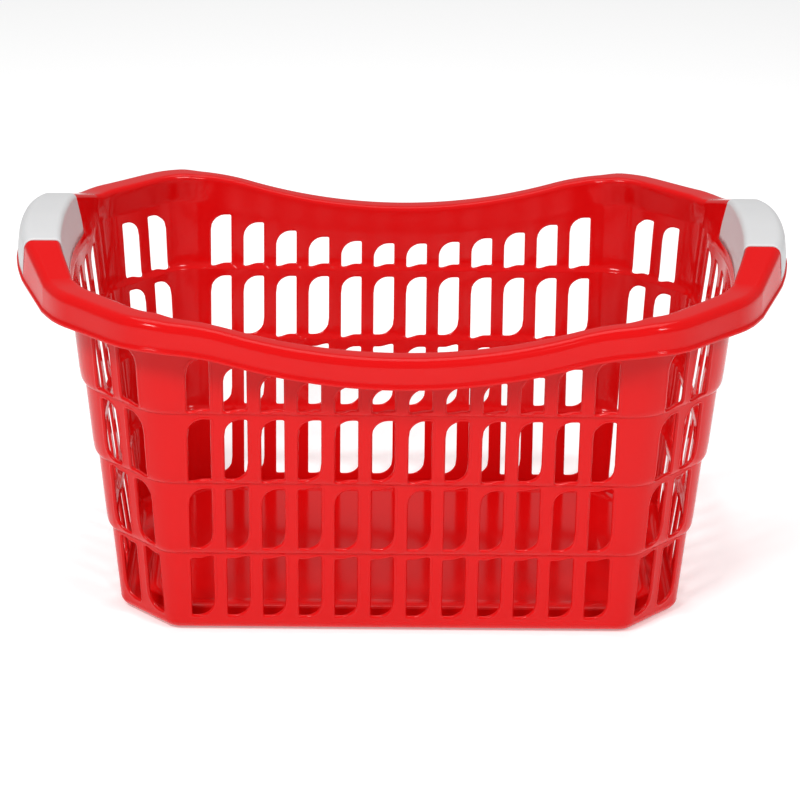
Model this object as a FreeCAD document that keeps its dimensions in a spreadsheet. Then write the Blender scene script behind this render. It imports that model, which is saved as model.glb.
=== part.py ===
import FreeCAD, Part
import math
import os
import Sketcher

# Shopping basket: a slotted octagonal tub with a wavy turned-over rim, two raised
# carrying handles and two white hand grips. Millimetres. X runs along the basket,
# Y from front to back and Z up; the origin is on the floor under the middle.
#
# Most sections are drawn in a vertical plane through one of the eight upright
# centre lines round which the tub's corners are rounded. There u is the distance
# outwards from the centre line and v is the height above the floor.

DIMENSIONS = [
    ("tub_half_length", 217.5, "outside of the end walls at the floor"),
    ("tub_half_width", 138, "outside of the long walls at the floor"),
    ("tub_corner_reach", 221.5, "middle to the outside of a corner panel at the floor"),
    ("vertex_radius", 16, "outer radius between two panels at the floor"),
    ("shell", 2, "thickness of the moulding"),
    ("lean", 0.09, "outward lean of the walls, per millimetre of height"),
    ("middle_lean", 0.12, "the same at the middle of an end wall, which bows outwards"),
    ("tier_step", 3.2, "how far each tier stands out over the one below"),
    ("low_ledge", 69, "height of the first ledge"),
    ("middle_ledge", 130.4, "height of the second ledge"),
    ("high_ledge", 189.8, "height of the third ledge"),
    ("foot_height", 2, "gap under the base"),
    ("foot_length", 26, "length of a foot along the basket"),
    ("foot_width", 12, "width of a foot"),
    ("foot_middle_x", 158, "middle of the basket to the middle of a foot"),
    ("foot_middle_y", 122, "middle of the basket to the middle of a foot"),
    ("base_round", 8, "radius round the bottom edge"),
    ("gutter_width", 12, "flat gutter between the wall and the raised floor"),
    ("floor_rise", 9, "height of the raised floor above the gutter"),
    ("floor_radius", 12, "corner radius of the raised floor"),
    ("slot_width", 17, "width of every slot"),
    ("slot_pitch", 27.4, "distance from slot to slot"),
    ("slot_round", 12.5, "large radius at one corner of a slot"),
    ("slot_to_rim", 31, "top of the upper slots to the top of the rim"),
    ("corner_slot_top", 241, "top of the upper slots in corner and end walls"),
    ("rim_low", 243.5, "top of the rim at the middle of a long side"),
    ("rim_high", 270, "top of the rim at its crests"),
    ("crest_x", 185, "middle of the basket to a crest"),
    ("hollow_radius", 450, "radius of the hollow in the rim's wave"),
    ("rim_lap", 8, "height of wall moulded with the long sides of the rim"),
    ("rim_inner_round", 4, "radius of the rim's inner edge"),
    ("rim_outer_round", 7, "radius of the rim's outer edge"),
    ("rim_skirt", 23, "depth of the turned-down skirt"),
    ("lip_height", 3, "height of the bead along the skirt's lower edge"),
    ("lip_width", 1.5, "how far the bead stands out"),
    ("side_edge", 65.5, "u of the skirt along the long sides"),
    ("handle_edge", 96, "u of the foot of the skirt at the middle of a handle"),
    ("handle_bow", 205, "radius, in plan, of a handle's outer edge"),
    ("handle_flare", 2.5, "how far the handle's skirt slopes outwards"),
    ("handle_brow", 62, "u of the inner edge of a handle at its middle"),
    ("handle_foot", 256, "height at which a handle leaves the end wall"),
    ("handle_top", 287, "top of a handle at its middle"),
    ("grip_end_top", 285, "top of a handle at the ends of its grip"),
    ("crease_top", 271, "top of the rim at the crease beside a handle"),
    ("grip_half_length", 57, "half length of a hand grip"),
    ("shoulder_y", 80, "middle of a handle to the middle of its sloping shoulder"),
    ("grip_end_skirt", 28.5, "depth of the skirt at the ends of a grip"),
    ("shoulder_skirt", 27, "depth of the skirt at a shoulder"),
    ("grip_wall", 1.2, "how far a grip stands proud of the handle"),
    ("headroom", 300, "height that clears the whole basket"),
]

WORKED_OUT = [
    ("side_centre_x", "=tub_corner_reach*sqrt(2)-tub_half_width-vertex_radius*tan(22.5)",
     "centre line of the vertex between a long wall and a corner panel"),
    ("side_centre_y", "=tub_half_width-vertex_radius", "the same, across the basket"),
    ("end_centre_x", "=tub_half_length-vertex_radius",
     "centre line of the vertex between an end wall and a corner panel"),
    ("end_centre_y", "=tub_corner_reach*sqrt(2)-tub_half_length-vertex_radius*tan(22.5)",
     "the same, across the basket"),
    ("corner_half", "=(end_centre_x-side_centre_x)/sqrt(2)", "half a corner panel's flat"),
    ("base_inset", "=base_round-lean*(foot_height+base_round)",
     "the rounded bottom edge, from the outside at the floor to the flat base"),
    ("rim_rise", "=rim_high-rim_low", "height of the rim's wave"),
    ("crest_radius", "=(crest_x^2+rim_rise^2)/(2*rim_rise)-hollow_radius",
     "radius of the wave's crests, tangent to its hollow"),
    ("turn_x", "=hollow_radius*crest_x/(hollow_radius+crest_radius)",
     "where the hollow turns into a crest"),
]

doc = FreeCAD.newDocument("basket")
sheet = doc.addObject("Spreadsheet::Sheet", "Dims")


def fill_sheet():
    for row, (alias, value, note) in enumerate(DIMENSIONS + WORKED_OUT, start=1):
        sheet.set(f"A{row}", str(value))
        sheet.setAlias(f"A{row}", alias)
        sheet.set(f"B{row}", note)
    doc.recompute()


def dim(alias):
    """A cell of the sheet, as it is written in an expression."""
    return "Dims." + alias


# ---------------------------------------------------------------- sketches

def origin_feature(body, role):
    return next(item for item in body.Origin.OriginFeatures if item.Role == role)


def new_sketch(body, name, role):
    sketch = body.newObject("Sketcher::SketchObject", name)
    sketch.AttachmentSupport = [(origin_feature(body, role), "")]
    sketch.MapMode = "FlatFace"
    return sketch


def section_sketch(body, name, x, y, angle):
    """A sketch in the vertical plane through the centre line at x, y.

    Its u axis points outwards, turned by angle from the front of the basket
    towards its right-hand end."""
    sketch = new_sketch(body, name, "XZ_Plane")
    turn = FreeCAD.Rotation(FreeCAD.Vector(0, 1, 0), angle - 90)
    sketch.AttachmentOffset = FreeCAD.Placement(FreeCAD.Vector(), turn)
    sketch.setExpression("AttachmentOffset.Base.x", x)
    sketch.setExpression("AttachmentOffset.Base.z", f"-({y})")
    return sketch


def arc_between(start, end, radius, side):
    """An arc from start to end that bulges to the left (side 1) or right (-1).

    It is always drawn anticlockwise, as a sketch keeps it, so one that bulges to
    the left begins at end."""
    chord = end - start
    rise = radius - math.sqrt(radius ** 2 - chord.Length ** 2 / 4)
    across = FreeCAD.Vector(-chord.y, chord.x, 0).normalize() * (side * rise)
    middle = (start + end) / 2 + across
    return Part.Arc(end, middle, start) if side > 0 else Part.Arc(start, middle, end)


def outline(sketch, points):
    """Add one closed outline whose points are bound to the sheet.

    A point is (u, v), or (u, v, radius, side) where an arc leads to the next."""
    first = sketch.GeometryCount
    count = len(points)
    value = [FreeCAD.Vector(float(sketch.evalExpression(point[0])),
                            float(sketch.evalExpression(point[1])), 0) for point in points]
    edges, ends = [], []
    for index, point in enumerate(points):
        start, end = value[index], value[(index + 1) % count]
        backwards = len(point) == 4 and point[3] > 0
        ends.append((2, 1) if backwards else (1, 2))
        if len(point) == 4:
            radius = float(sketch.evalExpression(point[2]))
            edges.append(arc_between(start, end, radius, point[3]))
        else:
            edges.append(Part.LineSegment(start, end))
    sketch.addGeometry(edges, False)

    made, bound = [], []
    for index, point in enumerate(points):
        here, following = first + index, (index + 1) % count
        made.append(Sketcher.Constraint("Coincident", here, ends[index][1],
                                        first + following, ends[following][0]))
        bound.append(None)
        made.append(Sketcher.Constraint("DistanceX", -1, 1, here, ends[index][0],
                                        value[index].x))
        bound.append(point[0])
        made.append(Sketcher.Constraint("DistanceY", -1, 1, here, ends[index][0],
                                        value[index].y))
        bound.append(point[1])
        if len(point) == 4:
            made.append(Sketcher.Constraint("Radius", here,
                                            float(sketch.evalExpression(point[2]))))
            bound.append(point[2])
    start_at = sketch.ConstraintCount
    sketch.addConstraint(made)
    for offset, expression in enumerate(bound):
        if expression is not None:
            sketch.setExpression(f"Constraints[{start_at + offset}]", expression)


# ---------------------------------------------------------------- features

def new_body(name):
    body = doc.addObject("PartDesign::Body", name)
    body.Label = name
    return body


def pad(body, name, sketch, length, midplane=False):
    feature = body.newObject("PartDesign::Pad", name)
    feature.Profile = sketch
    feature.Midplane = midplane
    feature.setExpression("Length", length)
    return feature


def pocket_through(body, name, sketch):
    """Cut from the sketch to both sides, through everything."""
    feature = body.newObject("PartDesign::Pocket", name)
    feature.Profile = sketch
    feature.Type = "ThroughAll"
    feature.Midplane = True
    return feature


def loft(body, name, sketches):
    feature = body.newObject("PartDesign::AdditiveLoft", name)
    feature.Profile = sketches[0]
    feature.Sections = sketches[1:]
    return feature


def place(body, x, y, angle):
    """Turn a panel drawn facing +X to its own side and set it on its centre line."""
    body.Placement = FreeCAD.Placement(FreeCAD.Vector(),
                                       FreeCAD.Rotation(FreeCAD.Vector(0, 0, 1), angle - 90))
    body.setExpression("Placement.Base.x", x)
    body.setExpression("Placement.Base.y", y)


# ---------------------------------------------------------------- shared curves

def outside(height, tier=3, lean="Dims.lean"):
    """u of the outside of the wall at a height, counting tiers from the bottom."""
    return f"(Dims.vertex_radius+{tier}*Dims.tier_step+{lean}*({height}))"


def wave(x):
    """Height of the rim's top along a long side, x measured either way from its middle."""
    hollow = f"Dims.rim_low+Dims.hollow_radius-sqrt(Dims.hollow_radius^2-({x})^2)"
    crest = (f"Dims.rim_high-Dims.crest_radius"
             f"+sqrt(Dims.crest_radius^2-(Dims.crest_x-({x}))^2)")
    return f"(({x}) < Dims.turn_x ? {hollow} : {crest})"


def wall_outline(top, lean="Dims.lean"):
    """Section of the slotted wall: rounded foot, four leaning tiers, three ledges."""
    low, shell = dim("foot_height"), dim("shell")
    bend = "(Dims.foot_height+Dims.base_round)"
    inset = "(Dims.vertex_radius-Dims.base_inset)"
    ledges = [dim("low_ledge"), dim("middle_ledge"), dim("high_ledge")]
    points = [(inset, low, dim("base_round"), -1), (outside(bend, 0), bend)]
    for tier, ledge in enumerate(ledges):
        points.append((outside(ledge, tier, lean), ledge))
        points.append((outside(ledge, tier + 1, lean), ledge))
    points.append((outside(top, 3, lean), top))
    points.append((f"{outside(top, 3, lean)}-{shell}", top))
    for tier, ledge in reversed(list(enumerate(ledges))):
        above = f"({ledge}+{shell})"
        points.append((f"{outside(above, tier + 1, lean)}-{shell}", above))
        points.append((f"{outside(above, tier, lean)}-{shell}", above))
    points.append((f"{outside(bend, 0)}-{shell}", bend, "Dims.base_round-Dims.shell", 1))
    points.append((inset, f"{low}+{shell}"))
    return points


# ---------------------------------------------------------------- walls

# How many slots stand side by side in a long wall, an end wall and a corner panel.
LONG_COLUMNS, END_COLUMNS, CORNER_COLUMNS = 12, 6, 2

# Seen from outside, a slot has a large radius at its upper left (round_top) and its
# lower right (round_foot), or the other way round where hand is -1. The second and
# third rows alternate from column to column.
ROWS = [
    {"foot": "13.9", "top": "63.5", "round_top": (False, False), "round_foot": (True, True)},
    {"foot": "74.3", "top": "125.2", "round_top": (True, False), "round_foot": (True, True)},
    {"foot": "134.9", "top": "184.9", "round_top": (True, True), "round_foot": (False, True)},
    {"foot": "195.1", "top": None, "round_top": (True, True), "round_foot": (False, False)},
]


def slot_outline(middle, foot, top, round_top, round_foot, hand):
    left = f"({middle}-{hand}*Dims.slot_width/2)"
    right = f"({middle}+{hand}*Dims.slot_width/2)"
    bulge = -hand
    points = [(left, foot)]
    if round_foot:
        points.append((f"{right}-{hand}*Dims.slot_round", foot, dim("slot_round"), bulge))
        points.append((right, f"{foot}+Dims.slot_round"))
    else:
        points.append((right, foot))
    points.append((right, top))
    if round_top:
        points.append((f"{left}+{hand}*Dims.slot_round", top, dim("slot_round"), bulge))
        points.append((left, f"{top}-Dims.slot_round"))
    else:
        points.append((left, top))
    return points


def cut_slots(body, columns, hand, upper_top):
    """Cut four rows of slots; upper_top gives the top of an upper slot from its middle.

    The lower rows repeat in pairs. The upper row follows the rim, slot by slot."""
    pairs = columns // 2
    for number, row in enumerate(ROWS, start=1):
        sketch = new_sketch(body, f"row_{number}", "YZ_Plane")
        drawn = 2 if row["top"] else columns
        for column in range(drawn):
            step = column - (columns - 1) / 2
            top = row["top"] or upper_top(f"({abs(step)}*Dims.slot_pitch)")
            kind = (column if hand == 1 else column + 1) % 2
            outline(sketch, slot_outline(f"({step}*Dims.slot_pitch)", row["foot"], top,
                                         row["round_top"][kind], row["round_foot"][kind], hand))
        cut = pocket_through(body, f"slots_{number}", sketch)
        if drawn < columns:
            pattern = body.newObject("PartDesign::LinearPattern", f"repeat_{number}")
            pattern.Originals = [cut]
            pattern.Direction = (sketch, ["H_Axis"])
            pattern.Occurrences = pairs
            pattern.setExpression("Length", f"{2 * (pairs - 1)}*Dims.slot_pitch")
            body.Tip = pattern


def long_wall(name, angle, y, hand):
    """A front or back wall, cut to the rim's wave along its top."""
    body = new_body(name)
    half = dim("side_centre_x")
    section = section_sketch(body, "section", "0", "0", 90)
    outline(section, wall_outline(dim("rim_high")))
    pad(body, "flat", section, f"2*{half}", midplane=True)

    seam = new_sketch(body, "rim_seam", "YZ_Plane")
    ends, turn = f"({wave(half)}-Dims.rim_lap)", f"({wave(dim('turn_x'))}-Dims.rim_lap)"
    crest, hollow = dim("crest_radius"), dim("hollow_radius")
    outline(seam, [(f"-{half}", ends, crest, 1), ("-Dims.turn_x", turn, hollow, -1),
                   ("Dims.turn_x", turn, crest, 1), (half, ends),
                   (half, dim("headroom")), (f"-{half}", dim("headroom"))])
    pocket_through(body, "rim_cut", seam)
    cut_slots(body, LONG_COLUMNS, hand, lambda x: f"({wave(x)}-Dims.slot_to_rim)")
    place(body, "0", y, angle)
    return body


def end_wall(name, angle, x, hand):
    """A wall under a handle, straight at the floor and bowed outwards at its top."""
    body = new_body(name)
    sections = []
    for word, y, lean in (("left", "-Dims.end_centre_y", "lean"), ("middle", "0", "middle_lean"),
                          ("right", "Dims.end_centre_y", "lean")):
        section = section_sketch(body, f"{word}_section", "0", y, 90)
        outline(section, wall_outline(dim("handle_foot"), dim(lean)))
        sections.append(section)
    loft(body, "panel", sections)
    cut_slots(body, END_COLUMNS, hand, lambda x: dim("corner_slot_top"))
    place(body, x, "0", angle)
    return body


def corner_wall(name, angle, x_side, y_side, hand):
    """A corner panel with half of the rounding at each of its two upright vertices."""
    body = new_body(name)
    section = section_sketch(body, "section", "0", "0", 90)
    outline(section, wall_outline(dim("handle_foot")))
    pad(body, "flat", section, "2*Dims.corner_half", midplane=True)
    for side, word in ((-1, "left"), (1, "right")):
        vertex = section_sketch(body, f"{word}_section", "0", f"{side}*Dims.corner_half",
                                90 + side * 22.5)
        outline(vertex, wall_outline(dim("handle_foot")))
        turned = body.newObject("PartDesign::Revolution", f"{word}_vertex")
        turned.Profile = vertex
        turned.ReferenceAxis = (vertex, ["V_Axis"])
        turned.Angle = 45
        turned.Midplane = True
    cut_slots(body, CORNER_COLUMNS, hand, lambda x: dim("corner_slot_top"))
    place(body, f"{x_side}*(Dims.side_centre_x+Dims.end_centre_x)/2",
          f"{y_side}*(Dims.side_centre_y+Dims.end_centre_y)/2", angle)
    return body


# ---------------------------------------------------------------- base

def octagon(inset, radius):
    """The tub's plan at the floor, drawn in by inset, with rounded vertices."""
    half_length, half_width = f"(Dims.tub_half_length-{inset})", f"(Dims.tub_half_width-{inset})"
    diagonal = f"((Dims.tub_corner_reach-{inset})*sqrt(2))"
    side_x, end_y = f"({diagonal}-{half_width})", f"({diagonal}-{half_length})"
    back, slant = f"({radius}*tan(22.5))", f"({radius}*tan(22.5)/sqrt(2))"
    quarter = [(f"({side_x}-{back})", half_width), (f"({side_x}+{slant})", f"({half_width}-{slant})"),
               (f"({half_length}-{slant})", f"({end_y}+{slant})"), (half_length, f"({end_y}-{back})")]
    points = []
    for x_side, y_side in ((1, -1), (1, 1), (-1, 1), (-1, -1)):
        run = quarter if x_side * y_side < 0 else quarter[::-1]
        for index, (x, y) in enumerate(run):
            point = (f"{x_side}*{x}", f"{y_side}*{y}")
            points.append(point + (radius, -1) if index in (0, 2) else point)
    return points


def base_panel():
    """Gutter plate with a raised floor that is hollow underneath."""
    body = new_body("base_panel")
    lift = dim("foot_height")

    def level(name, inset, radius, height):
        sketch = new_sketch(body, name, "XY_Plane")
        sketch.setExpression("AttachmentOffset.Base.z", height)
        outline(sketch, octagon(inset, radius))
        return sketch

    plate = level("plate_outline", dim("base_inset"), "(Dims.vertex_radius-Dims.base_inset)", lift)
    pad(body, "plate", plate, dim("shell"))
    step_inset = "(Dims.base_inset+Dims.gutter_width)"
    raised = level("raised_outline", step_inset, dim("floor_radius"), lift)
    pad(body, "raised_floor", raised, "Dims.floor_rise+Dims.shell")
    under = level("under_outline", f"({step_inset}+Dims.shell)",
                  "(Dims.floor_radius-Dims.shell)", lift)
    hollow = body.newObject("PartDesign::Pocket", "underside")
    hollow.Profile = under
    hollow.Reversed = True
    hollow.setExpression("Length", dim("floor_rise"))
    return body


def foot(name, x_side, y_side):
    """A low pad under one corner of the base."""
    body = new_body(name)
    sketch = new_sketch(body, "outline", "XY_Plane")
    across, along = "Dims.foot_length/2", "Dims.foot_width/2"
    outline(sketch, [(f"-{across}", f"-{along}"), (across, f"-{along}"),
                     (across, along), (f"-{across}", along)])
    pad(body, "foot_pad", sketch, dim("foot_height"))
    body.setExpression("Placement.Base.x", f"{x_side}*Dims.foot_middle_x")
    body.setExpression("Placement.Base.y", f"{y_side}*Dims.foot_middle_y")
    return body


# ---------------------------------------------------------------- rim and handles

class Station:
    """One cross-section of the turned-over rim, at a centre line and an angle."""

    def __init__(self, x, y, angle, top, reach, foot, brow=0, lean="Dims.lean",
                 skirt="Dims.rim_skirt"):
        self.x, self.y, self.angle = x, y, angle
        self.top, self.foot = top, foot
        self.low = f"({top}-{skirt})"
        self.skirt_foot = f"(Dims.side_edge+{reach}*(Dims.handle_edge-Dims.side_edge))"
        self.skirt_top = f"({self.skirt_foot}-{reach}*Dims.handle_flare)"
        wall_top = f"({outside(top)}-Dims.shell)"
        self.brow = f"({wall_top}+{brow}*(Dims.handle_brow-{wall_top}))"
        self.leg_foot = outside(foot, 3, lean)

    def rim(self):
        top, shell = self.top, dim("shell")
        inner, outer = dim("rim_inner_round"), dim("rim_outer_round")
        bead = f"{self.low}+Dims.lip_height"
        return [
            (f"{self.leg_foot}-{shell}", self.foot),
            (self.brow, f"{top}-{inner}", inner, 1),
            (f"{self.brow}+{inner}", top),
            (f"{self.skirt_top}-{outer}", top, outer, 1),
            (self.skirt_top, f"{top}-{outer}"),
            (self.skirt_foot, bead),
            (f"{self.skirt_foot}+Dims.lip_width", bead),
            (f"{self.skirt_foot}+Dims.lip_width", self.low),
            (f"{self.skirt_foot}-{shell}", self.low),
            (f"{self.skirt_top}-{shell}", f"{top}-{outer}", f"{outer}-{shell}", -1),
            (f"{self.skirt_top}-{outer}", f"{top}-{shell}"),
            (f"{self.brow}+{inner}", f"{top}-{shell}", f"{inner}-{shell}", -1),
            (f"{self.brow}+{shell}", f"{top}-{inner}"),
            (self.leg_foot, self.foot),
        ]

    def grip(self):
        top, skin = self.top, dim("grip_wall")
        inner, outer = dim("rim_inner_round"), dim("rim_outer_round")
        leg = f"{self.leg_foot}-Dims.shell"
        bead = f"{self.low}+Dims.lip_height"
        return [
            (f"{leg}-{skin}", self.foot),
            (f"{self.brow}-{skin}", f"{top}-{inner}", f"{inner}+{skin}", 1),
            (f"{self.brow}+{inner}", f"{top}+{skin}"),
            (f"{self.skirt_top}-{outer}", f"{top}+{skin}", f"{outer}+{skin}", 1),
            (f"{self.skirt_top}+{skin}", f"{top}-{outer}"),
            (f"{self.skirt_foot}+{skin}", bead),
            (self.skirt_foot, bead),
            (self.skirt_top, f"{top}-{outer}", outer, -1),
            (f"{self.skirt_top}-{outer}", top),
            (f"{self.brow}+{inner}", top, inner, -1),
            (self.brow, f"{top}-{inner}"),
            (leg, self.foot),
        ]


def loft_stations(body, name, stations, shape):
    sketches = []
    for number, station in enumerate(stations, start=1):
        sketch = section_sketch(body, f"station_{number}", station.x, station.y, station.angle)
        outline(sketch, shape(station))
        sketches.append(sketch)
    return loft(body, name, sketches)


def side_rim(name, y_side):
    """The wavy rim along a long side, from vertex to vertex."""
    body = new_body(name)
    half, turn = dim("side_centre_x"), dim("turn_x")
    places = [("", half), ("", turn), ("", f"({turn}/2)"), ("", "0"),
              ("-", f"({turn}/2)"), ("-", turn), ("-", half)]
    angle = 0 if y_side < 0 else 180
    stations = [Station(f"{sign}{x}", f"{y_side}*Dims.side_centre_y", angle, wave(x), 0,
                        f"({wave(x)}-Dims.rim_lap)") for sign, x in places]
    loft_stations(body, "channel", stations, Station.rim)
    return body


# How far the rim has widened from a long side (0) to the middle of a handle (1), at
# each turn round a corner: the vertex centre line, the angle and the share. The last
# turn is the crease beside the handle.
CORNER_TURNS = [("side", 0, 0), ("side", 22.5, 0), ("side", 45, 0), ("end", 45, 0.05),
                ("end", 76, 0.14)]


def compass(angle, x_side, y_side):
    """Turn an angle of the front right corner to the same place in another corner."""
    turned = angle if y_side < 0 else 180 - angle
    return turned * x_side


def crease_station(x_side, y_side):
    vertex, angle, reach = CORNER_TURNS[-1]
    return Station(f"{x_side}*Dims.end_centre_x", f"{y_side}*Dims.end_centre_y",
                   compass(angle, x_side, y_side), dim("crease_top"), reach, dim("handle_foot"))


def corner_rim(name, x_side, y_side):
    """The rim round one corner, widening from the long side to the crease."""
    body = new_body(name)
    start = f"{wave(dim('side_centre_x'))}"
    stations = []
    last = len(CORNER_TURNS) - 1
    for index, (vertex, angle, reach) in enumerate(CORNER_TURNS[:-1]):
        top = f"({start}+{index / last}*(Dims.crease_top-{start}))"
        stations.append(Station(f"{x_side}*Dims.{vertex}_centre_x",
                                f"{y_side}*Dims.{vertex}_centre_y",
                                compass(angle, x_side, y_side), top, reach, dim("handle_foot")))
    stations.append(crease_station(x_side, y_side))
    loft_stations(body, "channel", stations, Station.rim)
    return body


def handle_stations(x_side):
    """Sections along a handle, from the front crease over its arch to the back one."""
    shoulder_top = "((Dims.grip_end_top+Dims.crease_top)/2)"
    sections = [(dim("grip_half_length"), dim("grip_end_top"), dim("grip_end_skirt")),
                (dim("shoulder_y"), shoulder_top, dim("shoulder_skirt"))]
    front = [(f"-{y}", top, skirt) for y, top, skirt in sections[::-1]]
    middle = [("0", dim("handle_top"), dim("rim_skirt"))]
    stations = [crease_station(x_side, -1)]
    for y, top, skirt in front + middle + sections:
        bow = f"(Dims.handle_bow-sqrt(Dims.handle_bow^2-({y})^2))"
        reach = f"(1-{bow}/(Dims.handle_edge-Dims.side_edge))"
        share = f"(1-({y})^2/Dims.end_centre_y^2)"
        lean = f"(Dims.lean+{share}*(Dims.middle_lean-Dims.lean))"
        stations.append(Station(f"{x_side}*Dims.end_centre_x", y, 90 * x_side, top, reach,
                                dim("handle_foot"), reach, lean, skirt))
    stations.append(crease_station(x_side, 1))
    return stations


def handle(name, x_side):
    body = new_body(name)
    loft_stations(body, "arch", handle_stations(x_side), Station.rim)
    return body


def grip(name, x_side):
    """A thin saddle over the middle of a handle, open underneath."""
    body = new_body(name)
    loft_stations(body, "saddle", handle_stations(x_side), Station.grip)
    trim = new_sketch(body, "trim_outline", "XY_Plane")
    edge, far = "Dims.grip_half_length", "Dims.tub_half_length"
    near, out = f"{x_side}*{far}/2", f"{x_side}*{far}*2"
    for side in (-1, 1):
        outline(trim, [(near, f"{side}*{edge}"), (out, f"{side}*{edge}"),
                       (out, f"{side}*{far}"), (near, f"{side}*{far}")])
    pocket_through(body, "trim", trim)
    return body


# ---------------------------------------------------------------- the basket

def build():
    parts = [base_panel()]
    for x_side, left_right in ((-1, "left"), (1, "right")):
        for y_side, front_back in ((-1, "front"), (1, "back")):
            corner = f"{front_back}_{left_right}"
            hand = -x_side * y_side
            parts.append(foot(f"{corner}_foot", x_side, y_side))
            parts.append(corner_wall(f"{corner}_corner_wall", compass(45, x_side, y_side),
                                     x_side, y_side, hand))
            parts.append(corner_rim(f"{corner}_corner_rim", x_side, y_side))
        parts.append(end_wall(f"{left_right}_end_wall", 90 * x_side,
                              f"{x_side}*Dims.end_centre_x", x_side))
        parts.append(handle(f"{left_right}_handle", x_side))
        parts.append(grip(f"{left_right}_grip", x_side))
    for y_side, front_back, angle in ((-1, "front", 0), (1, "back", 180)):
        parts.append(long_wall(f"{front_back}_wall", angle,
                               f"{y_side}*Dims.side_centre_y", -y_side))
        parts.append(side_rim(f"{front_back}_rim", y_side))
    return parts


def check(parts):
    for item in doc.Objects:
        if "Invalid" in item.State or "Error" in item.State:
            raise RuntimeError(f"{item.Label} failed: {item.State}")
    for part in parts:
        if part.Shape.isNull() or not part.Shape.isValid():
            raise RuntimeError(f"{part.Label} has no valid shape")


def main():
    fill_sheet()
    parts = build()
    doc.recompute()
    check(parts)
    os.makedirs("parts", exist_ok=True)
    for part in parts:
        part.Shape.exportStep(f"parts/{part.Label}.step")
        box = part.Shape.BoundBox
        print(f"{part.Label}: {len(part.Shape.Solids)} solid, {part.Shape.Volume:.0f} mm3, "
              f"x {box.XMin:.1f}..{box.XMax:.1f} y {box.YMin:.1f}..{box.YMax:.1f} "
              f"z {box.ZMin:.1f}..{box.ZMax:.1f}")


main()
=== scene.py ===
import math

import bmesh
import bpy
import numpy as np
from mathutils import Matrix, Vector


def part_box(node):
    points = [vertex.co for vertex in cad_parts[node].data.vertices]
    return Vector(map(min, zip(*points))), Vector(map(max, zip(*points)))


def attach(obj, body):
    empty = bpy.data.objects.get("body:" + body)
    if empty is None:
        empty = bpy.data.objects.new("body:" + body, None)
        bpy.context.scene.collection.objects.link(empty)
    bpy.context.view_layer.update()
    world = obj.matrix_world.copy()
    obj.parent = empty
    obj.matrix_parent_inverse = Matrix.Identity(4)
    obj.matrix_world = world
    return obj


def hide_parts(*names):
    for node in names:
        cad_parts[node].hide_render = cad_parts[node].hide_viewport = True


# A red moulded basket with two white hand grips. The moulding is one seamless mesh and
# each grip another. Shapes are worked out in millimetres: s runs round the basket from
# left to right as seen from outside, u outwards from the upright centre lines of its
# eight rounded vertices, and z up from the floor.

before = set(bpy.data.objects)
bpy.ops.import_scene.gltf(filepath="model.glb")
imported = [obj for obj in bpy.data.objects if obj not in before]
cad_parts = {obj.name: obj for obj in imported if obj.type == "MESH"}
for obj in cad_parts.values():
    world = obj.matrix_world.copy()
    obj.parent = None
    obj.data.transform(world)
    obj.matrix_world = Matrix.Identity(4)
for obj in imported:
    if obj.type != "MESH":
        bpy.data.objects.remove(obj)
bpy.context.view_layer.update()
MM = 0.001


def corner_of(node):
    """Highest corner of a CAD node, in millimetres."""
    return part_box(node)[1] / MM


# ---------------------------------------------------------------- sizes from the frame
SIDE_X = corner_of("front_wall").x
END_Y = corner_of("right_end_wall").y
BASE_EDGE_U = 8.9
SIDE_Y = corner_of("base_panel").y - BASE_EDGE_U
END_X = SIDE_X + SIDE_Y - END_Y
GRIP_HALF = corner_of("right_grip").y

# ---------------------------------------------------------------- walls
VERTEX_TURN = math.pi / 4  # every vertex of the plan turns by an eighth of a circle
VERTEX_U = 16.0  # outside of the walls at floor height
REF_U = 30.0  # where s is measured
SHELL = 2.0  # thickness of the plastic
LEAN = 0.09  # outward lean of every wall
BOW_LEAN = 0.03  # further lean in the middle of an end wall
BOW_HALF, BOW_BLEND = 84.0, 73.0  # half width of that bow, and where it starts to fade
LEDGES = (69.0, 130.4, 189.8)
TIER_STEP, BELLY = 3.2, 9.0  # how far the wall steps out over a ledge, and in what height
INNER_LAG = 1.5  # how much higher the inside steps than the outside
BASE_BEND = 10.0  # where the walls turn into the base
# The slots of the corner panels drift by DRIFT at the height DRIFT_TOP. The drift fades
# in from DRIFT_FROM, and is gone again DRIFT_TAIL past the start of the long wall.
DRIFT, DRIFT_TOP = 4.5, 230.0
DRIFT_FROM, DRIFT_IN, DRIFT_TAIL, DRIFT_OUT = 97.0, 11.5, 4.2, 23.6

# ---------------------------------------------------------------- slots
SLOT_HALF = 8.5
PITCH = 27.4
BIG_ROUND = 12.5
SMALL_ROUND = 1.3
FLICK, FLICK_FROM = 2.3, 0.25  # height of a flick, and where it starts across the slot
FLICK_SAMPLES = (0.05, 0.95, 14)
SLOT_TO_RIM = 31.0
CORNER_SLOT_TOP = 241.0
COLUMNS = {"long": 12, "end": 6, "corner": 2}
# Ends of each row's slots, and which of two neighbours have a big round there.
ROWS = [
    dict(foot=13.9, top=63.5, big_top=(False, False), big_foot=(True, True)),
    dict(foot=74.3, top=125.2, big_top=(True, False), big_foot=(True, True)),
    dict(foot=134.9, top=184.9, big_top=(True, True), big_foot=(False, True)),
    dict(foot=195.1, top=None, big_top=(True, True), big_foot=(False, False)),
]
# Mesh samples near the ends of a slot's sides, and how many lie between them.
NEAR_UPRIGHT = (0, 0.35, 0.9, 1.8, 3.2, 5.5)
NEAR_LEVEL = (0, 0.4, 1.0, 2.0, 4.0)
UPRIGHT_MIDDLE, LEVEL_MIDDLE = 5, 3
STRIP_SAMPLES = 10
CREASE_SAMPLES = (-0.8, -0.3, 0, 0.3, 0.8)
DIGITS = 6  # samples that agree to so many decimals are one
WELD, WELD_DIGITS = 0.001, 3  # and points that agree to so many are welded

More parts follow.
